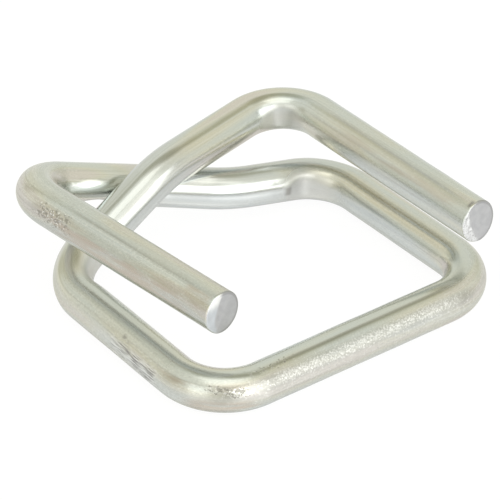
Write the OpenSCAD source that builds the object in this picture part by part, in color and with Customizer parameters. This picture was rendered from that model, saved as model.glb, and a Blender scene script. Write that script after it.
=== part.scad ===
// Wire strapping buckle: one length of round wire, bent into a frame with three
// closed sides. At the back its two ends cross over each other, turn forward and
// lie above the side bars as prongs, so that a strap can be looped over them.

/* [Wire] */
// Diameter of the wire
wire_d = 3.5; // [3:0.1:4]
// Chamfer round the two cut ends
end_chamfer = 0.1; // [0.05:0.05:0.2]
// How far the sheared slope on the left of each cut end falls back at the wire's side
shear_depth = 0.15; // [0.1:0.05:0.4]
// Distance of that slope's ridge from the wire's axis
shear_in = 0.6; // [0.3:0.1:1]
// How much the wire's radius shrinks where it is stretched round a bend
bend_thinning = 0.03; // [0.02:0.01:0.06]

/* [Frame] */
// Width of the frame between the centre-lines of its side bars
frame_w = 28.2; // [25:0.1:34]
// Length of the right side bar, from the front bar's centre-line to the rear corner
right_side_l = 20.1; // [18:0.1:22]
// Length of the left side bar, from the front bar's centre-line to the rear corner
left_side_l = 20.9; // [18:0.1:22]
// How far the right side bar leans inwards over its length
right_lean = 0.2; // [0:0.1:1]
// How far the left side bar leans inwards over its length
left_lean = 0.6; // [0:0.1:1]
// Inside radius of the two front bends
front_bend_r = 2.9; // [2:0.1:4]
// Inside radius of the two rear bends
rear_bend_r = 2.6; // [2:0.1:3.5]

/* [Left prong] */
// Gap between the side bar's top and the prong's underside, at the tip
left_tip_gap = 2.8; // [2:0.1:4]
// Gap between the side bar's top and the prong's underside, at the rear
left_rear_gap = 3.1; // [2:0.1:4]
// Distance of the tip behind the front bar's centre-line
left_tip_back = 2.2; // [0:0.1:5]
// Distance of the tip inwards from the side bar's front end
left_tip_in = 2.7; // [0:0.1:4]
// Angle by which the cut tip leans back at its top
left_cut_lean = 5; // [0:1:12]
// Distance of the prong's rear corner behind the front bar's centre-line
left_rear_back = 26.7; // [24:0.1:30]
// Distance of the prong's rear corner inwards from the side bar's front end
left_rear_in = 0; // [-1:0.1:3]

/* [Right prong] */
// Gap between the side bar's top and the prong's underside, at the tip
right_tip_gap = 2.3; // [2:0.1:4]
// Gap between the side bar's top and the prong's underside, at the rear
right_rear_gap = 2.3; // [2:0.1:4]
// Distance of the tip behind the front bar's centre-line
right_tip_back = 0.9; // [0:0.1:5]
// Distance of the tip inwards from the side bar's front end
right_tip_in = 0.8; // [0:0.1:4]
// Angle by which the cut tip leans back at its top
right_cut_lean = 10; // [0:1:12]
// Distance of the prong's rear corner behind the front bar's centre-line
right_rear_back = 25.3; // [24:0.1:30]
// Distance of the prong's rear corner inwards from the side bar's front end
right_rear_in = 1.3; // [-1:0.1:3]

/* [Crossing bars] */
// Inside radius of the bends between the crossing bars and the prongs
prong_bend_r = 2.5; // [2:0.1:3]
// Gap between the two bars where one passes over the other
cross_gap = 0.1; // [0.05:0.05:0.5]
// Place of the under bar's knee to the right of the frame's middle
under_knee_x = 4.7; // [3:0.1:6]
// Distance of the under bar's knee behind the right rear corner
under_knee_back = 2; // [1:0.1:3]
// Rise of the under bar's knee above the frame
under_knee_rise = 1; // [0.5:0.1:1.5]
// Inside radius of the under bar's knee
under_knee_r = 10.2; // [8:0.1:13]
// Place of the under bar's crank to the left of the frame's middle
under_crank_x = 2; // [1:0.1:3]
// Distance of the under bar's crank in front of the left prong's rear corner
under_crank_front = 0.6; // [0:0.1:1.5]
// Rise of the under bar's crank above the frame
under_crank_rise = 1.9; // [1.5:0.1:2.3]
// Inside radius of the under bar's crank
under_crank_r = 9.1; // [7:0.1:10]
// Place of the over bar's knee to the left of the frame's middle
over_knee_x = 1.8; // [1:0.1:3]
// Distance of the over bar's knee behind the left rear corner
over_knee_back = 2.1; // [1:0.1:3]
// Inside radius of the over bar's knee
over_knee_r = 11; // [8:0.1:13]

/* [Tool marks] */
// Depth of the flat that a forming pin leaves inside each tight rear bend
pin_flat = 0.35; // [0.2:0.05:0.45]
// Radius of the pins inside the bends between the crossing bars and the prongs
prong_pin_r = 1.5; // [1.2:0.1:1.8]
// Radius of the pins inside the frame's two rear bends
rear_pin_r = 1.8; // [1.4:0.1:2]
// Angle round the right rear bend at which its pin pressed; the other pins press mid-bend
right_pin_angle = 0; // [0:5:60]
// Depth of the dip that the forming tool pressed into the under bar
press_depth = 0.5; // [0.2:0.05:0.6]
// Radius of the round tool that pressed the dip
press_r = 9; // [6:0.5:12]
// Distance of the dip along the under bar from the left prong's rear corner
press_place = 8.9; // [8:0.1:10]
// Angle of the dip round the wire, from straight below towards the front
press_tilt = 24; // [0:1:60]

/* [Hidden] */
$fn = 96;

wire_r = wire_d / 2;
// Length by which each bend reaches into the straight wire at both of its ends
bend_lap = 0.25;
// Steps along each bend at which the wire's outermost points are looked for
bend_steps = 16;
wire_colour = [0.76, 0.76, 0.72];

function unit(v) = v / norm(v);
function across(v, axis) = v - (v * axis) * axis;

// Corners of the wire's centre-line, with the frame's own plane at height 0.
left_tip = [left_tip_in - frame_w / 2, left_tip_back, wire_d + left_tip_gap];
left_rear = [left_rear_in - frame_w / 2, left_rear_back, wire_d + left_rear_gap];
right_tip = [frame_w / 2 - right_tip_in, right_tip_back, wire_d + right_tip_gap];
right_rear = [frame_w / 2 - right_rear_in, right_rear_back, wire_d + right_rear_gap];
left_corner = [left_lean - frame_w / 2, left_side_l, 0];
right_corner = [frame_w / 2 - right_lean, right_side_l, 0];
under_knee = [under_knee_x, right_side_l + under_knee_back, under_knee_rise];
under_crank = [-under_crank_x, left_rear_back - under_crank_front, under_crank_rise];

// The over bar lies in a plane that runs along the under bar's middle leg, one wire
// diameter and the gap away from it, so that the two bars pass without touching.
under_run = unit(under_crank - under_knee);
to_rear = across(right_rear - under_knee, under_run);
plane_tilt = acos((wire_d + cross_gap) / norm(to_rear));
plane_up = cos(plane_tilt) * unit(to_rear) - sin(plane_tilt) * cross(under_run, unit(to_rear));
over_knee_plan = [-over_knee_x, left_side_l + over_knee_back];
over_knee_fall = plane_up[0] * (over_knee_plan[0] - right_rear[0])
    + plane_up[1] * (over_knee_plan[1] - right_rear[1]);
over_knee = [over_knee_plan[0], over_knee_plan[1], right_rear[2] - over_knee_fall / plane_up[2]];

// The wire from the left prong's tip to the right prong's tip.
corners = [
    left_tip,
    left_rear,
    under_crank,
    under_knee,
    right_corner,
    [frame_w / 2, 0, 0],
    [-frame_w / 2, 0, 0],
    left_corner,
    over_knee,
    right_rear,
    right_tip,
];
inside_r = [
    0,
    prong_bend_r,
    under_crank_r,
    under_knee_r,
    rear_bend_r,
    front_bend_r,
    front_bend_r,
    rear_bend_r,
    over_knee_r,
    prong_bend_r,
    0,
];
last = len(corners) - 1;
// Bends by their corners: the left prong's rear bend and the crank beside the pressed dip,
// the other bends formed round a pin, the plain bends, and the legs that join only those.
hook_bend = 1;
crank_bend = 2;
right_bend = 4;
left_bend = 7;
tight_bends = [right_bend, left_bend, last - 1];
easy_bends = [3, 5, 6, 8];
easy_legs = [2, 5];

// Straight legs run between corners; a bend of the given radius rounds each inner corner.
function heading(i) = unit(corners[i + 1] - corners[i]);
function bend_r(i) = inside_r[i] + wire_r;
function turn(i) = acos(heading(i - 1) * heading(i));
function setback(i) = i == 0 || i == last ? 0 : bend_r(i) * tan(turn(i) / 2);
function leg_start(i) = corners[i] + setback(i) * heading(i);
function leg_length(i) = norm(corners[i + 1] - corners[i]) - setback(i) - setback(i + 1);
function bend_axis(i) = unit(cross(heading(i - 1), heading(i)));
function bend_spoke(i) = cross(heading(i - 1), bend_axis(i));
function bend_centre(i) = corners[i] - setback(i) * heading(i - 1) - bend_r(i) * bend_spoke(i);
function bend_point(i, angle) = bend_centre(i)
    + bend_r(i) * (cos(angle) * bend_spoke(i) + sin(angle) * heading(i - 1));

// The origin is under the middle of the wire's outline, on the surface that it lies on.
bend_points = [
    for (i = [1 : last - 1], step = [0 : bend_steps])
        bend_point(i, turn(i) * step / bend_steps)
];
bend_xs = [for (p = bend_points) p[0]];
bend_ys = [for (p = bend_points) p[1]];
middle = [(min(bend_xs) + max(bend_xs)) / 2, (min(bend_ys) + max(bend_ys)) / 2, -wire_r];

// Puts its children where the given axes and origin say.
module place(origin, x, y, z) {
    multmatrix([
        [x[0], y[0], z[0], origin[0]],
        [x[1], y[1], z[1], origin[1]],
        [x[2], y[2], z[2], origin[2]],
        [0, 0, 0, 1],
    ])
        children();
}

// Stands its children on a point, with their Z along the given direction.
module along(origin, z) {
    x = unit(across([0, 0, 1], z));
    place(origin, x, cross(z, x), z) children();
}

module straight(i) {
    along(leg_start(i), heading(i)) cylinder(r = wire_r, h = leg_length(i));
}

// The wedge that shearing takes off the left side of a cut end.
module shear_wedge() {
    slope = shear_depth / (wire_r - shear_in);
    rotate([90, 0, 90])
        linear_extrude(height = 2 * wire_d, center = true)
            polygon([
                [wire_r - shear_in, -slope * wire_r],
                [-wire_d, slope * (wire_d - shear_in)],
                [-wire_d, -slope * wire_r],
            ]);
}

// What shearing takes off in front of a cut end, with the chamfer round its face.
module cut_off(lean) {
    rotate([0, -lean, 0]) {
        rotate_extrude()
            polygon([
                [0, 0],
                [wire_r - end_chamfer, 0],
                [wire_d, wire_r + end_chamfer],
                [wire_d, -wire_d],
                [0, -wire_d],
            ]);
        shear_wedge();
    }
}

// A prong's straight wire, from its sheared tip to its bend.
module tipped(from, z, length, lean) {
    along(from, z)
        difference() {
            translate([0, 0, -wire_r]) cylinder(r = wire_r, h = length + wire_r);
            cut_off(lean);
        }
}

module bend(i) {
    lap_angle = bend_lap / bend_r(i) * 180 / PI;
    place(bend_centre(i), bend_spoke(i), heading(i - 1), bend_axis(i))
        rotate([0, 0, -lap_angle])
            rotate_extrude(angle = turn(i) + 2 * lap_angle)
                translate([bend_r(i), 0])
                    circle(r = wire_r - bend_thinning);
}

// The pin that a tight bend was formed round, which bites a little into the wire.
module forming_pin(i) {
    pin_r = i == right_bend || i == left_bend ? rear_pin_r : prong_pin_r;
    pin_angle = i == right_bend ? right_pin_angle : turn(i) / 2;
    place(bend_centre(i), bend_spoke(i), heading(i - 1), bend_axis(i))
        rotate([0, 0, pin_angle])
            translate([inside_r[i] + pin_flat - pin_r, 0])
                cylinder(r = pin_r, h = wire_d, center = true);
}

// A straight leg in the form that its place along the wire asks for.
module leg(i) {
    if (i == 0) {
        tipped(left_tip, heading(i), leg_length(i), left_cut_lean);
    } else if (i == last - 1) {
        tipped(right_tip, -heading(i), leg_length(i), right_cut_lean);
    } else {
        straight(i);
    }
}

// A tight bend and the legs on both sides of it, with the flat that the pin left inside.
module formed_corner(i) {
    difference() {
        union() {
            leg(i - 1);
            bend(i);
            leg(i);
        }
        forming_pin(i);
    }
}

// The round tool that pressed the dip, as it lies against the under bar.
module press_tool() {
    z = heading(hook_bend);
    aim = unit(across([0, -sin(press_tilt), -cos(press_tilt)], z));
    tool_centre = left_rear + press_place * z + (wire_r - press_depth + press_r) * aim;
    place(tool_centre, z, aim, cross(z, aim))
        cylinder(r = press_r, h = 2 * wire_d, center = true);
}

// The left prong with its rear bend and the crank, and the dip pressed between the two.
module pressed_hook() {
    difference() {
        union() {
            formed_corner(hook_bend);
            bend(crank_bend);
        }
        press_tool();
    }
}

module bent_wire() {
    color(wire_colour)
        translate(-middle) {
            pressed_hook();
            for (i = tight_bends) {
                formed_corner(i);
            }
            for (i = easy_bends) {
                bend(i);
            }
            for (i = easy_legs) {
                leg(i);
            }
        }
}

bent_wire();
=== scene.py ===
"""The looks of a wire strapping buckle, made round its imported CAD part.

The wire is swept along the same route as the CAD solid, finely enough to carry its tool marks,
dents and sheared ends, and finished in streaky bright zinc. Sizes are in millimetres and angles in
tables are in degrees, unless a name or a comment says otherwise.
"""

import math

import bpy
import numpy as np
from mathutils import Matrix, Vector


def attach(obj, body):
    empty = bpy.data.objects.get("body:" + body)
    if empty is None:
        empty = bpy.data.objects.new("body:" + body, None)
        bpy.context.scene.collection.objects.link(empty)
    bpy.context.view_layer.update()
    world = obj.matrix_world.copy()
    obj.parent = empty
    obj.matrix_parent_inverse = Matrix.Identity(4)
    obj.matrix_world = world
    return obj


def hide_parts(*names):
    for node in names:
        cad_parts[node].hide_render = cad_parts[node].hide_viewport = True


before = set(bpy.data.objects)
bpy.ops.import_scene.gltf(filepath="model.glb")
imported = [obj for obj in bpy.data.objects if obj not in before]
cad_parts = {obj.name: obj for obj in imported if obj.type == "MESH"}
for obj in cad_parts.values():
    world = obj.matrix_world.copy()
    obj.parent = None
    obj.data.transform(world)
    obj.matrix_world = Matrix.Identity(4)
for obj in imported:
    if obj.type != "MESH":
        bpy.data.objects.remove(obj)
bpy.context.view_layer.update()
MM = 0.001

# Wire route, in the frame of the front bar's centre-line. It has the CAD part's values, but for a
# right tip that sags and reaches forward by a hair.
WIRE_R = 1.75
CORNERS = np.array([
    (-11.4, 2.2, 6.3),      # left tip
    (-14.1, 26.7, 6.6),     # left prong's rear bend
    (-2.0, 26.1, 1.9),      # under bar's crank
    (4.7, 22.1, 1.0),       # under bar's knee
    (13.9, 20.1, 0.0),      # right rear bend
    (14.1, 0.0, 0.0),       # right front bend
    (-14.1, 0.0, 0.0),      # left front bend
    (-13.5, 20.9, 0.0),     # left rear bend
    (-1.8, 23.0, 4.801),    # over bar's knee
    (12.8, 25.3, 5.8),      # right prong's rear bend
    (13.3, 0.77, 5.74),     # right tip
])
INSIDE_R = [0, 2.5, 9.1, 10.2, 2.6, 2.9, 2.9, 2.6, 11, 2.5, 0]
HOOK_CORNER, CRANK_CORNER = 1, 2
ROUTE_MIDDLE = np.array((0.0453, 13.2356, -1.75))
# Slight sway of the under bar behind the left prong: its middle by distance from the left tip, the
# distance from there to where it is greatest, and the sway there
SWAY_MIDDLE, SWAY_REACH = 29.15, 2.6
SWAY = np.array((-0.179, -0.224, 0.193))

# Mesh: distance between rings along the wire, and points on each ring
SPACING = 0.15
SIDES = 76

# Shallow waves in the wire's side, everywhere and where it is satin: height, seed, and the shortest
# and longest wave. They set in between two distances from the tips, and the side lies a little
# inside the wire's radius to make room for them.
WAVES = (0.004, 3, (3.0, 8.0))
SATIN_WAVES = (0.0025, 4, (0.5, 1.2))
WAVES_SET_IN = (0.5, 2.5)
SIDE_INSET = 0.006

# Forming pins that bit into the tight rear bends: bend, pin radius, share of the bend at which it
# pressed and softness of the rim that it left
PINS = [(1, 1.5, 0.5, 0.14), (4, 1.8, 0.0, 0.26), (7, 1.8, 0.5, 0.30), (9, 1.5, 0.5, 0.20)]
PIN_FLAT = 0.35
# Dip that a round tool pressed into the under bar: distance from the left prong's rear corner,
# direction that it faces, depth, tool radius and softness of the rim
DIP = (8.9, (0, -0.407, -0.914), 0.5, 9.0, 0.12)
# Lengths of wire that the tools could reach, beyond a pin's bend and from the dip's middle
PIN_REACH, DIP_REACH = 2.5, 5
# Distance from a tool, in softnesses of its rim, past which it moves nothing
RIM_REACH = 6
# Depths between which a place begins to look pressed
PRESSED_SHOWS = (0.005, 0.07)

# Sheared ends of the left and the right prong: slopes of the face towards its top and right,
# distance of the sheared part's ridge from the axis by powers of the height, softness of the ridge
# to the eye, roughness of the sheared part and seed
ENDS = [
    ((0.060, 0.054), (0.82, -0.20, -0.19), 0.10, 0.001, 11),
    ((0.120, 0.086), (0.90, 0.28, -0.15), 0.03, 0.012, 23),
]
TORN_ROUGHEST = 0.012
SHEAR_SLOPE = 0.16
# Unevenness of the ridge and of the face: height, and the shortest and longest wave
RIDGE_WAVES = (0.03, (0.5, 1.5))
FACE_WAVES = (0.003, (0.5, 2.0))
TORN_LENGTHS = (0.2, 0.6)
RIDGE_CREASE = 0.04
# Rings over the face, and the edge's radius and rings by their angle
FACE_RINGS = 19
END_ROUND = 0.10
EDGE_TURNS = (22.5, 45, 67.5, 90)
# Length of wire over which the rings behind a sheared end close up, and the least room behind the
# edge
END_REACH = 1.5
EDGE_ROOM = 0.04
# The dark rolled edge: distances from the wire's side, and places from left to right, between which
# it sets in. The plating starts over the last bit of the other edge.
ROLLED_DEPTHS = (0.26, 0.16)
ROLLED_SIDES = (0.35, -0.1)
PLATED_EDGE = 0.08
# Heights between which the sheared part gets lighter, a painted highlight towards its top
SHEAR_HIGHLIGHT_HEIGHTS = (0.4, 1.3)

# Marks along the wire, by distance from the left tip. Each row has the stretch, the length of its
# fading ends, the direction that the middle of the mark faces (none: all round), half-angles of its
# core and rim, and strength.
MARKS = {
    "satin": [
        (-2, 27, 3, None, 0, 0, 0.7),
        (66, 75, 3, (0.6, -0.6, 0.3), 40, 85, 0.75),
        (53, 68, 3, None, 0, 0, 0.4),
        (72, 94, 2, (0, -1, 0.15), 35, 62, 1.0),
        (91, 102, 2, (-0.7, -0.7, 0.1), 50, 85, 0.6),
        (99, 114, 3, (-1, 0, 0.3), 45, 75, 0.85),
        (144, 167, 4, None, 0, 0, 0.35),
    ],
    "stained": [
        (1, 18, 4, (-0.95, -0.1, 0.30), 5, 22, 1.0),
        (2, 17, 4, (-1, -0.1, 0.0), 12, 45, 0.8),
        (0.3, 3.0, 1, (-0.6, -0.1, 0.8), 4, 22, 0.8),
        (15.5, 19.5, 1.5, (-0.9, -0.1, 0.4), 8, 28, 0.5),
        (96.9, 100.4, 1.2, (-0.78, -0.18, 0.60), 3, 17, 1.0),
        (91.5, 98.5, 3, (-0.62, -0.72, -0.30), 14, 34, 1.0),
        (94, 97, 1, (-0.5, -0.68, 0.55), 6, 24, 0.6),
        (149, 163.6, 4, (-0.72, 0, 0.69), 4, 20, 0.55),
    ],
    "pitted": [
        (16.0, 19.6, 1.2, (-0.91, -0.09, 0.39), 6, 30, 1.0),
        (95.6, 96.7, 0.4, (-0.57, -0.59, 0.57), 4, 14, 0.9),
        (94.2, 95.7, 0.6, (-0.43, -0.77, 0.47), 5, 17, 0.9),
        (90, 94, 1.5, (0, -0.3, 0.95), 4, 14, 0.35),
    ],
    "scratched": [
        (100.4, 103.8, 1.0, (-1, 0.02, 0.0), 12, 34, 1.0),
        (103.0, 106.4, 1.2, (-1, 0.02, 0.05), 12, 30, 0.75),
    ],
    "cool": [
        (34, 51, 5, None, 0, 0, 1.0),
        (117, 130, 5, None, 0, 0, 1.0),
    ],
    "yellowed": [
        (25, 33, 3, (-0.1, -0.5, 0.86), 6, 24, 0.6),
        (47, 55, 3, (-0.30, -0.40, 0.87), 6, 24, 0.8),
        (53, 68, 4, (-0.48, 0, 0.88), 10, 30, 1.0),
        (73, 93, 4, (0, -0.40, 0.92), 6, 20, 0.3),
        (99, 109, 4, (-0.70, 0.02, 0.71), 6, 22, 0.4),
        (114, 118, 2, (0.01, -0.30, 0.95), 6, 24, 0.8),
        (129, 145, 4, (0, -0.48, 0.88), 6, 24, 0.6),
        (146, 163, 5, (-0.55, 0, 0.83), 6, 22, 0.6),
    ],
    # Painted shade that dims mirrored light on the left prong, front bar and left front bend
    "dull_and_painted_shade": [
        (-2, 21, 4, (-0.98, -0.09, 0), 14, 38, 0.40),
        (72, 95, 4, (0, -0.85, 0.53), 8, 24, 1.0),
        # The left front bend's own dark worn patch
        (94.3, 95.9, 0.8, (-0.43, -0.77, 0.47), 9, 22, 1.0),
        (93.5, 97.5, 2, (-0.42, -0.89, 0.15), 12, 36, 0.45),
        (91.5, 98.5, 3, (-0.62, -0.72, -0.34), 12, 32, 0.40),
    ],
    # Thin dark lines; the first three rows are a line on the over bar and drawing lines on the left
    # prong
    "lines_and_painted_shade": [
        (121.5, 125.9, 0.6, (-0.1, -0.78, 0.61), 1, 5, 0.5),
        (2, 16, 3, (-0.42, 0, 0.91), 2, 6, 0.5),
        (4, 19, 4, (-0.75, 0, 0.66), 2, 6, 0.4),
        # Painted dark reflections along the right prong
        (147, 163, 4, (-0.35, 0, 0.94), 2, 6, 0.5),
        (145, 158, 4, (-0.80, 0, 0.60), 2, 6, 0.4),
        # Painted shade under the burr at the right tip
        (164.2, 164.7, 0.2, (-0.31, 0, 0.95), 8, 14, 1.0),
        # Painted dark reflection along the top of the front bar
        (74, 92, 4, (0, -0.27, 0.96), 2, 6, 0.5),
        # Painted shade in the notch at the right rear bend's flat and, below, in the left side's
        # dents
        (47.2, 47.8, 0.3, (-0.21, -0.97, 0.0), 6, 16, 0.7),
        (104.95, 105.35, 0.2, (-0.72, 0.02, 0.69), 3, 7, 0.8),
        (104.4, 104.7, 0.2, (-0.78, 0.02, 0.62), 1, 5, 0.5),
    ],
}
# Rubbed band along the front bar, whose white flecks are painted glints: distance from the left tip
# and the direction that its middle faces
RUBBED_GLINTS = [
    (74.2, (0, -0.80, 0.60)),
    (80.0, (0, -0.80, 0.60)),
    (86.0, (0, -0.85, 0.53)),
    (92.0, (0, -0.82, 0.57)),
]
RUBBED_GLINTS_CORE, RUBBED_GLINTS_RIM = 4, 19
# Half the lengths over which the band fades at its two ends
RUBBED_GLINTS_FADES = (1.5, 1)
# Single dents: distance from the left tip, direction, length along and width across the wire, depth
DENTS = [
    (105.0, (-0.72, 0.02, 0.69), 0.55, 0.30, 0.07),
    (104.2, (-0.86, 0.02, 0.50), 0.40, 0.25, 0.04),
    (96.2, (-0.57, -0.59, 0.57), 0.35, 0.35, 0.05),
    (94.6, (-0.36, -0.78, 0.51), 0.60, 0.40, 0.04),
    (18.2, (-0.91, -0.09, 0.39), 0.50, 0.35, 0.05),
    (17.0, (-0.95, -0.09, 0.25), 0.45, 0.30, 0.04),
    (87.0, (0, -0.60, 0.80), 0.70, 0.25, 0.03),
]
DENT_REACH = 3


def unit(v):
    return v / np.linalg.norm(v)


def cosine(degrees):
    return math.cos(math.radians(degrees))


def step(x, low, high):
    """A smooth step from 0 at low to 1 at high."""
    t = np.clip((x - low) / (high - low), 0, 1)
    return t * t * (3 - 2 * t)


def bend(i):
    """Turn, centre, axis, spoke to the start and centre-line radius of the bend at corner i."""
    before = unit(CORNERS[i] - CORNERS[i - 1])
    after = unit(CORNERS[i + 1] - CORNERS[i])
    turn = math.acos(before @ after)
    radius = INSIDE_R[i] + WIRE_R
    axis = unit(np.cross(before, after))
    spoke = np.cross(before, axis)
    centre = CORNERS[i] - radius * math.tan(turn / 2) * before - radius * spoke
    return turn, centre, axis, spoke, radius


def centre_line():
    """Points along the wire, their directions and their distances from the left tip."""
    points, directions = [], []
    last = len(CORNERS) - 1
    start = CORNERS[0]
    for i in range(1, last + 1):
        ahead = unit(CORNERS[i] - CORNERS[i - 1])
        if i == last:
            end = CORNERS[last]
        else:
            turn, centre, _, spoke, radius = bend(i)
            end = centre + radius * spoke
        count = round(np.linalg.norm(end - start) / SPACING)
        share = np.linspace(0, 1, count, endpoint=i == last)[:, None]
        points.append(start + share * (end - start))
        directions.append(np.repeat(ahead[None], len(share), axis=0))
        if i < last:
            count = round(radius * turn / SPACING)
            angle = np.linspace(0, turn, count, endpoint=False)[:, None]
            points.append(centre + radius * (np.cos(angle) * spoke + np.sin(angle) * ahead))
            directions.append(np.cos(angle) * ahead - np.sin(angle) * spoke)
            start = centre + radius * (math.cos(turn) * spoke + math.sin(turn) * ahead)
    points, directions = np.concatenate(points), np.concatenate(directions)
    along = np.concatenate(([0], np.cumsum(np.linalg.norm(np.diff(points, axis=0), axis=1))))
    return points, directions, along


def carried_normals(directions):
    """One direction across the wire at each point, carried along without twisting."""
    normal = np.array((0.0, 0.0, 1.0))
    normals = []
    for ahead in directions:
        normal = unit(normal - (normal @ ahead) * ahead)
        normals.append(normal)
    return np.array(normals)


def ripples(place, seed, lengths, count=48):
    """Smooth random waves with about unit size; lengths are the shortest and longest wave."""
    random = np.random.RandomState(seed)
    total = np.zeros(place.shape[:-1])
    for _ in range(count):
        heading = unit(random.normal(size=3))
        wave = 2 * math.pi / random.uniform(*lengths)
        total += np.cos(place @ (wave * heading) + random.uniform(0, 2 * math.pi))
    return total * math.sqrt(2 / count)


def pushed_out(points, centre, axis, radius, softness):
    """Points moved out of a round tool that pressed into the wire, with a slightly rounded rim."""
    from_axis = points - centre
    from_axis = from_axis - (from_axis @ axis)[..., None] * axis
    distance = np.linalg.norm(from_axis, axis=-1)
    gap = distance - radius
    wanted = 0.5 * (gap + np.sqrt(gap * gap + softness * softness))
    moved = np.where(gap > RIM_REACH * softness, 0, wanted - gap)
    return points + (moved / distance)[..., None] * from_axis


def spread(along, out, rows):
    """Strength of the given marks at each point of the wire's side."""
    total = np.zeros(out.shape[:2])
    for first, last, fade, facing, core, rim, strength in rows:
        starts = step(along, first - fade / 2, first + fade / 2)
        ends = step(along, last - fade / 2, last + fade / 2)
        amount = (starts * (1 - ends))[:, None]
        if facing is not None:
            towards = out @ unit(np.array(facing))
            amount = amount * step(towards, cosine(rim), cosine(core))
        total = np.maximum(total, strength * amount)
    return total


def rubbed_glints_band(along, out):
    """Rubbed band with painted glints; its middle turns round the wire as it runs along."""
    places, ways = zip(*RUBBED_GLINTS)
    facing = np.stack([np.interp(along, places, axis) for axis in zip(*ways)], axis=1)
    facing = facing / np.linalg.norm(facing, axis=1, keepdims=True)
    first_fade, last_fade = RUBBED_GLINTS_FADES
    starts = step(along, places[0] - first_fade, places[0] + first_fade)
    ends = step(along, places[-1] - last_fade, places[-1] + last_fade)
    towards = np.einsum("rsk,rk->rs", out, facing)
    return (starts * (1 - ends))[:, None] * step(towards, cosine(RUBBED_GLINTS_RIM), cosine(RUBBED_GLINTS_CORE))


def dented(along, out):
    """Depth of the dents at each point of the wire's side."""
    depth = np.zeros(out.shape[:2])
    for place, facing, length, width, deep in DENTS:
        turned = np.arccos(np.clip(out @ unit(np.array(facing)), -1, 1)) * WIRE_R
        ahead = (along - place)[:, None]
        hollow = np.exp(-(ahead / (length / 2)) ** 2 - (turned / (width / 2)) ** 2)
        depth += deep * hollow * (np.abs(ahead) < DENT_REACH)
    return depth


def tool_marked(surface, points, along):
    """The wire's side pressed by the pins and the round tool, and how pressed each point looks."""
    plain, surface = surface, surface.copy()
    bend_at = {row[0]: along[np.linalg.norm(points - CORNERS[row[0]], axis=1).argmin()]
               for row in PINS}
    for i, pin_r, share, softness in PINS:
        turn, centre, axis, spoke, radius = bend(i)
        before = unit(CORNERS[i] - CORNERS[i - 1])
        way = math.cos(share * turn) * spoke + math.sin(share * turn) * before
        pin = centre + (INSIDE_R[i] + PIN_FLAT - pin_r) * way
        near = np.abs(along - bend_at[i]) < radius * turn / 2 + PIN_REACH
        surface[near] = pushed_out(surface[near], pin, axis, pin_r, softness)
    place, facing, depth, tool_r, softness = DIP
    bar = unit(CORNERS[CRANK_CORNER] - CORNERS[HOOK_CORNER])
    aim = unit(np.array(facing) - (np.array(facing) @ bar) * bar)
    tool = CORNERS[HOOK_CORNER] + place * bar + (WIRE_R - depth + tool_r) * aim
    near = np.abs(along - bend_at[HOOK_CORNER] - place) < DIP_REACH
    surface[near] = pushed_out(surface[near], tool, np.cross(bar, aim), tool_r, softness)
    return surface, step(np.linalg.norm(surface - plain, axis=-1), *PRESSED_SHOWS)


def sheared_depth(across, left, lean, ridge, soft, seed):
    """How far the cut falls back at points across it, and their share of the sheared slope."""
    off = across @ left
    height = across[..., 2]
    uneven, lengths = RIDGE_WAVES
    ridge = ridge[0] + ridge[1] * height + ridge[2] * height * height
    ridge = ridge + uneven * ripples(across, seed, lengths)
    beyond = off - ridge
    depth = SHEAR_SLOPE * 0.5 * (beyond + np.sqrt(beyond * beyond + RIDGE_CREASE ** 2))
    return depth + lean[0] * height - lean[1] * off, step(beyond, -soft, soft)


def end_rings(tip, inwards, out, lean, ridge, soft, torn_rough, seed):
    """Rings over one sheared end, from its middle to the wire's side.

    Gives the rings' points, their places across the wire, their marks, and how far the last ring
    lies behind the tip.
    """
    left = -unit(np.cross(inwards, (0, 0, 1.0) - inwards[2] * inwards))
    face_r = WIRE_R - END_ROUND
    face = np.arange(1, FACE_RINGS + 1) / FACE_RINGS * face_r
    turn = np.radians(EDGE_TURNS)
    reach = np.concatenate((face, face_r + END_ROUND * np.sin(turn)))
    fall = np.concatenate((np.zeros(len(face)), END_ROUND * (1 - np.cos(turn))))
    across = reach[:, None, None] * out[None]
    sheared, torn = sheared_depth(across, left, lean, ridge, soft, seed)
    uneven, lengths = FACE_WAVES
    texture = torn_rough * torn * ripples(across, seed + 1, TORN_LENGTHS)
    texture = texture + uneven * ripples(across, seed + 2, lengths)
    texture = texture * (1 - step(reach, face_r, WIRE_R))[:, None]
    deep = fall[:, None] + sheared + texture
    inner, outer = ROLLED_DEPTHS
    rolled = step(reach, WIRE_R - inner, WIRE_R - outer)[:, None] * step(out @ left, *ROLLED_SIDES)
    cut = 1 - step(reach, WIRE_R - PLATED_EDGE, WIRE_R)[:, None] * (1 - rolled)
    marks = {
        "cut": cut,
        "torn": cut * torn,
        "rolled": rolled,
        "rough": np.full(cut.shape, torn_rough / TORN_ROUGHEST),
        # lighter towards the top: a painted highlight
        "high": step(across[..., 2], *SHEAR_HIGHLIGHT_HEIGHTS),
    }
    return tip + across + deep[..., None] * inwards, across, marks, deep[-1]


def laid_flat(across, normal, binormal, place):
    """Places of an end's points on the straightened wire."""
    return np.insert(across @ np.stack((normal, binormal), axis=1), 0, place, axis=-1)


def tube_faces(rings):
    """Faces of a tube, and the fans round the two middle points that come after its rings."""
    ring, turn = np.meshgrid(np.arange(rings - 1), np.arange(SIDES), indexing="ij")
    beside = (turn + 1) % SIDES
    this, following = ring * SIDES, (ring + 1) * SIDES
    quads = np.stack((this + turn, this + beside, following + beside, following + turn), axis=-1)
    first_middle, last_middle, last_ring = rings * SIDES, rings * SIDES + 1, (rings - 1) * SIDES
    fans = [(first_middle, (k + 1) % SIDES, k) for k in range(SIDES)]
    fans += [(last_middle, last_ring + k, last_ring + (k + 1) % SIDES) for k in range(SIDES)]
    return quads.reshape(-1, 4).tolist() + fans


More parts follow.
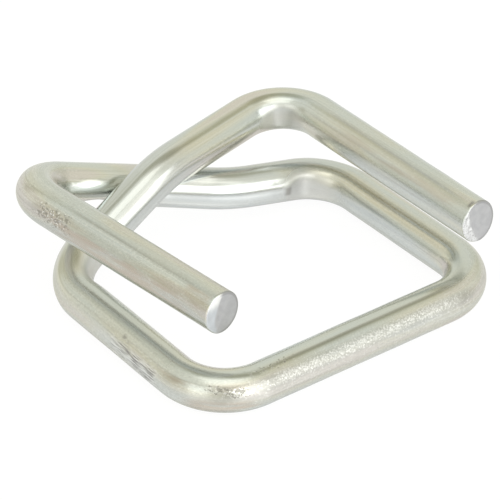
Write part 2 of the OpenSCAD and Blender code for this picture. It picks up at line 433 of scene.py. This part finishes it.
def wire_mesh():
    """The swept wire, with each vertex's place on the straightened wire and marks as attributes."""
    points, directions, along = centre_line()
    normals = carried_normals(directions)
    binormals = np.cross(directions, normals)
    angle = np.linspace(0, 2 * math.pi, SIDES, endpoint=False)
    turned = np.stack((np.cos(angle), np.sin(angle)), axis=-1)
    out = turned[None, :, :1] * normals[:, None] + turned[None, :, 1:] * binormals[:, None]
    total = along[-1]
    to_tip = np.minimum(along, total - along)
    off = (along - SWAY_MIDDLE) / SWAY_REACH
    points += (off * np.exp(0.5 - off * off / 2))[:, None] * SWAY

    # Wire's side, with its shallow waves, dents and tool marks
    straightened = np.empty(out.shape)
    straightened[..., 0] = along[:, None]
    straightened[..., 1:] = WIRE_R * turned[None]
    side = {name: spread(along, out, rows) for name, rows in MARKS.items()}
    height, seed, lengths = WAVES
    waves = height * ripples(straightened, seed, lengths)
    height, seed, lengths = SATIN_WAVES
    waves = waves + height * side["satin"] * ripples(straightened, seed, lengths)
    waves = waves * step(to_tip, *WAVES_SET_IN)[:, None]
    radius = WIRE_R - SIDE_INSET + waves - dented(along, out)
    surface = points[:, None] + radius[..., None] * out
    surface, side["pressed"] = tool_marked(surface, points, along)
    side["rubbed_glints"] = rubbed_glints_band(along, out)

    # Sheared ends, behind which the side's rings close up
    left, left_across, left_marks, left_rim = end_rings(
        points[0], directions[0], out[0], *ENDS[0])
    right, right_across, right_marks, right_rim = end_rings(
        points[-1], -directions[-1], out[-1], *ENDS[1])
    for from_tip, inwards, rim in ((along, directions[0], left_rim),
                                   (total - along, -directions[-1], right_rim)):
        near = from_tip < END_REACH
        behind = rim[None] * (1 - from_tip[near] / END_REACH)[:, None]
        surface[near] += behind[..., None] * inwards
    kept = to_tip > END_ROUND + EDGE_ROOM

    # Left end, side and right end joined, with a middle point for each end
    surface = np.concatenate((left, surface[kept], right[::-1]))
    flat = np.concatenate((
        laid_flat(left_across, normals[0], binormals[0], 0),
        straightened[kept],
        laid_flat(right_across[::-1], normals[-1], binormals[-1], total),
    ))
    no_end, no_side = np.zeros(left.shape[:2]), np.zeros((kept.sum(), SIDES))
    marks = {name: np.concatenate((no_end, values[kept], no_end)) for name, values in side.items()}
    for name in left_marks:
        marks[name] = np.concatenate((left_marks[name], no_side, right_marks[name][::-1]))

    vertices = np.concatenate((surface.reshape(-1, 3), points[:1], points[-1:])) - ROUTE_MIDDLE
    mesh = bpy.data.meshes.new("bent_wire_surface")
    mesh.from_pydata((vertices * MM).tolist(), [], tube_faces(len(surface)))
    mesh.shade_smooth()
    flat = np.concatenate((flat.reshape(-1, 3), ((0, 0, 0), (total, 0, 0)))).astype(np.float32)
    places = mesh.attributes.new("straightened", "FLOAT_VECTOR", "POINT")
    places.data.foreach_set("vector", flat.ravel())
    for name, values in marks.items():
        middle = 1.0 if name == "cut" else 0.0
        values = np.append(values.ravel(), (middle, middle)).astype(np.float32)
        mesh.attributes.new(name, "FLOAT", "POINT").data.foreach_set("value", values)
    return mesh


class Graph:
    """Adds nodes to a tree, with each input given as a value or as another node's output."""

    # Sockets of the mix node that take and give colours
    MIX_FACTOR, MIX_A, MIX_B, MIX_RESULT = 0, 6, 7, 2

    def __init__(self, tree):
        tree.nodes.clear()
        self.tree = tree

    def node(self, kind, inputs=None, **settings):
        made = self.tree.nodes.new(kind)
        for name, value in settings.items():
            setattr(made, name, value)
        for name, value in (inputs or {}).items():
            if isinstance(value, bpy.types.NodeSocket):
                self.tree.links.new(value, made.inputs[name])
            else:
                made.inputs[name].default_value = value
        return made

    def math(self, operation, a, b):
        return self.node("ShaderNodeMath", {0: a, 1: b}, operation=operation).outputs[0]

    def product(self, a, b):
        return self.math("MULTIPLY", a, b)

    def sum(self, first, *others):
        for other in others:
            first = self.math("ADD", first, other)
        return first

    def weighted(self, *rows):
        """The sum of values, each times its own weight."""
        return self.sum(*[self.product(value, weight) for value, weight in rows])

    def mix(self, factor, a, b):
        """A blend of two colours, each given by its red, green and blue or as an output."""
        a, b = [(*colour, 1) if isinstance(colour, tuple) else colour for colour in (a, b)]
        inputs = {self.MIX_FACTOR: factor, self.MIX_A: a, self.MIX_B: b}
        return self.node("ShaderNodeMix", inputs, data_type="RGBA").outputs[self.MIX_RESULT]

    def ramp(self, value, low, high):
        """A smooth step from 0 at low to 1 at high."""
        inputs = {"Value": value, "From Min": low, "From Max": high}
        made = self.node("ShaderNodeMapRange", inputs, interpolation_type="SMOOTHSTEP")
        return made.outputs[0]

    def colours(self, value, stops):
        """Colours blended along a value, from rows of place and colour."""
        made = self.node("ShaderNodeValToRGB", {"Fac": value})
        elements = made.color_ramp.elements
        while len(elements) < len(stops):
            elements.new(0.5)
        for element, (place, colour) in zip(elements, stops):
            element.position = place
            element.color = (*colour, 1)
        return made.outputs[0]

    def noise(self, place, scale, detail):
        """Noise with its own scale along and across the wire, per millimetre."""
        stretched = self.node("ShaderNodeMapping", {"Vector": place, "Scale": scale}).outputs[0]
        inputs = {"Vector": stretched, "Scale": 1.0, "Detail": detail}
        return self.node("ShaderNodeTexNoise", inputs).outputs[0]

    def broken(self, mark, noise, lift, low, high, mark_low, mark_high):
        """A mark that shows only where a noise, lifted by the mark, is strong."""
        lifted = self.sum(self.product(mark, lift), noise)
        return self.product(self.ramp(lifted, low, high), self.ramp(mark, mark_low, mark_high))

    def attribute(self, name, output="Fac"):
        return self.node("ShaderNodeAttribute", attribute_name=name).outputs[output]


# Marks that the mesh carries, on the wire's side and at its ends
SIDE_MARKS = (*MARKS, "pressed", "rubbed_glints")
END_MARKS = ("cut", "torn", "rolled", "rough", "high")
# Noises in the plating: scale along and across the wire, and detail
NOISES = {
    "tint": ((0.09, 0.50, 0.50), 1.5),
    "streak": ((0.03, 2.2, 2.2), 3.0),
    "lines": ((0.06, 8.0, 8.0), 2.0),
    "grain": ((6.0, 7.0, 7.0), 2.0),
    "specks": ((5.0, 6.0, 6.0), 2.0),
    "blots": ((3.6, 4.6, 4.6), 3.0),
    "chips": ((7.0, 6.5, 6.5), 3.0),
    "strokes": ((0.9, 16.0, 16.0), 2.0),
    "stains": ((0.25, 1.8, 1.8), 4.0),
    "face": ((2.0, 2.0, 2.0), 3.0),
}
# Marks broken up by a noise: the two, how much the mark lifts the noise, and the values of the
# lifted noise and of the mark between which they set in
BROKEN = {
    "flecks_and_glints": ("rubbed_glints", "chips", 0.12, 0.57, 0.71, 0.02, 0.12),
    "pits": ("pitted", "blots", 0.15, 0.60, 0.72, 0.02, 0.10),
    "worn": ("pitted", "chips", 0.10, 0.66, 0.74, 0.05, 0.30),
    "scores": ("scratched", "strokes", 0.18, 0.66, 0.74, 0.02, 0.10),
    "bared": ("scratched", "strokes", -0.10, 0.42, 0.30, 0.05, 0.40),
}
# Colours of the plating: its own tints along their noise, and those of its marks
TINTS = [
    (0.36, (0.665, 0.708, 0.710)),
    (0.44, (0.680, 0.714, 0.688)),
    (0.50, (0.694, 0.714, 0.672)),
    (0.57, (0.725, 0.714, 0.622)),
    (0.64, (0.728, 0.688, 0.645)),
]
COOL = (0.685, 0.710, 0.722)
YELLOWED = (0.745, 0.700, 0.560)
SATIN = (0.60, 0.605, 0.57)
STREAK = (0.56, 0.57, 0.53)
LINE_DARK, LINE_LIGHT = (0.48, 0.47, 0.43), (0.84, 0.84, 0.80)
PRESSED = (0.71, 0.70, 0.67)
# Dark lines, most of them painted shade and painted dark reflections
LINES_AND_PAINTED_SHADE = (0.36, 0.35, 0.33)
# Painted shade, and the left front bend's worn patch
DULL_AND_PAINTED_SHADE = (0.40, 0.40, 0.38)
GRAIN_LIGHT, GRAIN_DARK = (0.81, 0.81, 0.78), (0.58, 0.58, 0.55)
STAINED = (0.57, 0.495, 0.42)
# Painted glints in the rubbed band
PAINTED_GLINT = (0.96, 0.96, 0.95)
PIT, WORN = (0.25, 0.24, 0.22), (0.95, 0.95, 0.94)
SCORE, BARED = (0.27, 0.26, 0.26), (0.95, 0.95, 0.95)
# Colours of the bare steel at the cut ends
FACE_DARK, FACE_LIGHT = (0.555, 0.558, 0.580), (0.605, 0.608, 0.628)
# Sheared part, low and high; the high colour is a painted highlight
SHEAR_LOW, SHEAR_PAINTED_HIGHLIGHT = (0.57, 0.60, 0.63), (0.95, 0.95, 0.94)
TORN, TORN_SPECK = (0.76, 0.765, 0.775), (0.50, 0.50, 0.51)
ROLLED = (0.44, 0.44, 0.45)
EDGE_TINT = (0.92, 0.92, 0.90, 1)
PLAIN_ROUGHNESS = 0.15
# Height in metres of a bump of 1, and its strength
BUMP_HEIGHT_M, BUMP_STRENGTH = 0.00002, 0.5


def side_colour(g, marks, noises, broken):
    """Colour of the plating."""
    satin, streak, lines, grain = (
        marks["satin"], noises["streak"], noises["lines"], noises["grain"])
    dark_lines = g.product(g.ramp(lines, 0.58, 0.70), g.sum(g.product(satin, 0.30), 0.25))
    light_lines = g.product(g.ramp(lines, 0.44, 0.32), g.sum(g.product(satin, 0.25), 0.20))
    grained = g.sum(g.product(satin, 0.8), 0.2)
    stain = g.product(marks["stained"], g.ramp(noises["stains"], 0.34, 0.60))
    colour = g.colours(noises["tint"], TINTS)
    # Strength and colour of each layer, from the lowest up
    for strength, tone in (
        (g.product(marks["cool"], 0.75), COOL),
        (g.product(marks["yellowed"], g.ramp(streak, 0.25, 0.60)), YELLOWED),
        (g.product(satin, 0.25), SATIN),
        (g.product(g.ramp(streak, 0.50, 0.72), 0.35), STREAK),
        (dark_lines, LINE_DARK),
        (light_lines, LINE_LIGHT),
        (g.product(marks["pressed"], 0.6), PRESSED),
        # drawing lines, painted dark reflections and painted shade
        (marks["lines_and_painted_shade"], LINES_AND_PAINTED_SHADE),
        # painted shade, and the left front bend's worn patch
        (g.product(marks["dull_and_painted_shade"], 0.72), DULL_AND_PAINTED_SHADE),
        (g.product(grained, g.ramp(grain, 0.52, 0.75)), GRAIN_LIGHT),
        (g.product(grained, g.ramp(grain, 0.48, 0.25)), GRAIN_DARK),
        (g.product(stain, 0.75), STAINED),
        # white flecks: painted glints in the rubbed band
        (g.product(broken["flecks_and_glints"], 0.45), PAINTED_GLINT),
        (g.product(broken["pits"], 0.6), PIT),
        (broken["worn"], WORN),
        (g.product(broken["scores"], 0.85), SCORE),
        (g.product(broken["bared"], 0.6), BARED),
    ):
        colour = g.mix(strength, colour, tone)
    return colour


def end_colour(g, marks, noises):
    """Colour of the bare steel at the cut ends, with a painted highlight high on the sheared part.
    """
    face = g.mix(g.ramp(noises["face"], 0.35, 0.65), FACE_DARK, FACE_LIGHT)
    slope = g.mix(marks["high"], SHEAR_LOW, SHEAR_PAINTED_HIGHLIGHT)
    slope = g.mix(marks["rough"], slope, TORN)
    specks = g.product(marks["rough"], g.ramp(noises["specks"], 0.52, 0.66))
    slope = g.mix(specks, slope, TORN_SPECK)
    return g.mix(marks["rolled"], g.mix(marks["torn"], face, slope), ROLLED)


def zinc():
    """Bright zinc with yellowish and bluish streaks, satin and rubbed where tools slid along it."""
    # Its colour also holds painted glints, painted shade and painted dark reflections.
    material = bpy.data.materials.new("bright_zinc")
    material.use_nodes = True
    g = Graph(material.node_tree)
    place = g.attribute("straightened", "Vector")
    marks = {name: g.attribute(name) for name in SIDE_MARKS + END_MARKS}
    noises = {name: g.noise(place, *row) for name, row in NOISES.items()}
    broken = {name: g.broken(marks[mark], noises[noise], *row)
              for name, (mark, noise, *row) in BROKEN.items()}

    side = side_colour(g, marks, noises, broken)
    colour = g.mix(marks["cut"], side, end_colour(g, marks, noises))
    roughness = g.sum(g.weighted(
        (noises["streak"], 0.10),
        (marks["satin"], 0.11),
        (marks["pressed"], 0.22),
        (marks["cut"], 0.14),
    ), PLAIN_ROUGHNESS)
    height = g.weighted(
        (noises["lines"], 0.25),
        (g.product(marks["satin"], noises["grain"]), 1.2),
        (broken["flecks_and_glints"], 0.3),
        (broken["pits"], -1.6),
        (broken["scores"], -1.2),
        (g.product(g.product(marks["torn"], marks["rough"]), noises["specks"]), 2.0),
    )
    bump = g.node("ShaderNodeBump", {
        "Height": height, "Strength": BUMP_STRENGTH, "Distance": BUMP_HEIGHT_M})
    surface = g.node("ShaderNodeBsdfPrincipled", {
        "Base Color": colour, "Metallic": 1.0, "Roughness": roughness, "Normal": bump.outputs[0],
        "Specular Tint": EDGE_TINT})
    g.node("ShaderNodeOutputMaterial", {"Surface": surface.outputs[0]})
    return material


# Softboxes: name, azimuth, elevation, distance, width and height in metres, radiance, colour
SOFTBOXES = [
    ("key", 5, 21, 0.5, 0.51, 0.39, 1.30, (0.98, 0.99, 1)),
    ("bridge", 17, 53, 0.5, 0.11, 0.16, 0.45, (1, 1, 0.97)),
    ("ceiling", -38, 73, 0.5, 0.34, 0.34, 0.66, (1, 1, 0.95)),
    ("left_fill", -70, 18, 0.5, 0.25, 0.35, 0.62, (1, 1, 0.98)),
]
# Darker gaps between them: azimuth, elevation, half-angles of the core and the rim, colour
GAPS = [
    (92, 68, 4, 13, (0.50, 0.50, 0.39)),
    (112, 67, 5, 14, (0.40, 0.40, 0.30)),
    (132, 66, 5, 14, (0.44, 0.44, 0.33)),
    (152, 67, 5, 14, (0.46, 0.46, 0.35)),
    (172, 68, 5, 14, (0.48, 0.48, 0.37)),
    (106, 54, 3, 11, (0.54, 0.54, 0.42)),
    (191, 47, 3, 11, (0.64, 0.64, 0.52)),
    (191, 30, 4, 12, (0.62, 0.62, 0.51)),
    (191, 13, 4, 12, (0.62, 0.62, 0.51)),
    (247, 26, 5, 16, (0.60, 0.58, 0.48)),
    (240, 8, 4, 14, (0.70, 0.70, 0.60)),
    (100, 5, 10, 28, (0.73, 0.74, 0.64)),
    (36, 31, 2, 9, (0.36, 0.36, 0.30)),
    (34, 17, 2, 8, (0.50, 0.50, 0.43)),
]
WALLS = (0.85, 0.85, 0.75)
WHITE = (1, 1, 1)
# Floor: half its width in metres, its glow to the camera and to the wire, the tone that the wire
# mirrors, its paint, and its sheen to mirrored light
FLOOR_HALF_M = 1.5
FLOOR_LEVEL = 0.92
FLOOR_MIRRORED = 0.56
FLOOR_MIRRORED_TONE = (0.985, 0.985, 1)
FLOOR_PAINT = (0.12, 0.12, 0.12, 1)
FLOOR_SHEEN, FLOOR_SHEEN_ROUGHNESS = 0.34, 0.25


def direction(azimuth, elevation):
    """Unit vector outwards; azimuth 0 is in front of the front bar and 90 on its right."""
    a, e = math.radians(azimuth), math.radians(elevation)
    return Vector((math.sin(a) * math.cos(e), -math.cos(a) * math.cos(e), math.sin(e)))


def surroundings():
    """White to the camera; to the wire a pale room with darker gaps between its lamps."""
    world = bpy.data.worlds.new("studio")
    world.use_nodes = True
    bpy.context.scene.world = world
    g = Graph(world.node_tree)
    place = g.node("ShaderNodeTexCoord").outputs["Generated"]
    colour = WALLS
    for azimuth, elevation, core, rim, tone in GAPS:
        inputs = {0: place, 1: direction(azimuth, elevation)}
        towards = g.node("ShaderNodeVectorMath", inputs, operation="DOT_PRODUCT").outputs["Value"]
        colour = g.mix(g.ramp(towards, cosine(rim), cosine(core)), colour, tone)
    is_camera = g.node("ShaderNodeLightPath").outputs["Is Camera Ray"]
    colour = g.mix(is_camera, colour, WHITE)
    background = g.node("ShaderNodeBackground", {"Color": colour, "Strength": 1.0})
    g.node("ShaderNodeOutputWorld", {"Surface": background.outputs[0]})


def softbox(name, azimuth, elevation, distance, width, height, radiance, colour):
    """A lamp that faces the buckle."""
    lamp = bpy.data.lights.new(name, "AREA")
    lamp.shape = "RECTANGLE"
    lamp.size, lamp.size_y = width, height
    lamp.energy = radiance * width * height * math.pi
    lamp.color = colour
    holder = bpy.data.objects.new(name, lamp)
    back = direction(azimuth, elevation)
    turned = back.to_track_quat("Z", "Y").to_matrix().to_4x4()
    holder.matrix_world = Matrix.Translation(back * distance) @ turned
    bpy.context.scene.collection.objects.link(holder)


def floor():
    """White floor that keeps the buckle's shadow, a little darker where the wire mirrors it."""
    mesh = bpy.data.meshes.new("floor")
    half = FLOOR_HALF_M
    corners = [(-half, -half, 0), (half, -half, 0), (half, half, 0), (-half, half, 0)]
    mesh.from_pydata(corners, [], [(0, 1, 2, 3)])
    plane = bpy.data.objects.new("floor", mesh)
    bpy.context.scene.collection.objects.link(plane)
    material = bpy.data.materials.new("pale_floor")
    material.use_nodes = True
    g = Graph(material.node_tree)
    path = g.node("ShaderNodeLightPath").outputs
    mirrored = g.math("MAXIMUM", path["Is Glossy Ray"], path["Is Transmission Ray"])
    level = g.weighted((path["Is Camera Ray"], FLOOR_LEVEL), (mirrored, FLOOR_MIRRORED))
    tone = g.mix(mirrored, WHITE, FLOOR_MIRRORED_TONE)
    glow = g.node("ShaderNodeEmission", {"Color": tone, "Strength": level})
    paint = g.node("ShaderNodeBsdfDiffuse", {"Color": FLOOR_PAINT})
    sheen = g.node("ShaderNodeBsdfAnisotropic", {
        "Color": (*WHITE, 1), "Roughness": FLOOR_SHEEN_ROUGHNESS})
    painted = g.node("ShaderNodeMixShader", {
        0: g.product(mirrored, FLOOR_SHEEN), 1: paint.outputs[0], 2: sheen.outputs[0]})
    both = g.node("ShaderNodeAddShader", {0: glow.outputs[0], 1: painted.outputs[0]})
    g.node("ShaderNodeOutputMaterial", {"Surface": both.outputs[0]})
    mesh.materials.append(material)


def camera():
    """The photograph's viewpoint, found from the wire's outline in its 500 by 500 pixel frame."""
    azimuth, elevation, roll = -38.66, 33.895, math.radians(1.2)
    distance, focal_pixels, frame_pixels = 315.0, 3922.7, 500
    pivot = Vector((-0.0453, -2.7356, 3.5))
    off_right, off_up = 1.7297, -1.0941
    near_m, far_m = 0.01, 10
    back = direction(azimuth, elevation)
    level = Vector((math.cos(math.radians(azimuth)), math.sin(math.radians(azimuth)), 0))
    upright = back.cross(level)
    right = math.cos(roll) * level + math.sin(roll) * upright
    up = math.cos(roll) * upright - math.sin(roll) * level
    eye = (pivot + distance * back - off_right * right - off_up * up) * MM
    lens = bpy.data.cameras.new("photo_camera")
    lens.lens = focal_pixels / frame_pixels * lens.sensor_width
    lens.clip_start, lens.clip_end = near_m, far_m
    holder = bpy.data.objects.new("photo_camera", lens)
    turned = Matrix((right, up, back)).transposed().to_4x4()
    holder.matrix_world = Matrix.Translation(eye) @ turned
    bpy.context.scene.collection.objects.link(holder)
    bpy.context.scene.camera = holder


wire = bpy.data.objects.new("bent_wire_looks", wire_mesh())
bpy.context.scene.collection.objects.link(wire)
wire.data.materials.append(zinc())
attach(wire, "root")
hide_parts("bent_wire")

surroundings()
for values in SOFTBOXES:
    softbox(*values)
floor()
camera()
bpy.context.scene.view_settings.view_transform = "Standard"
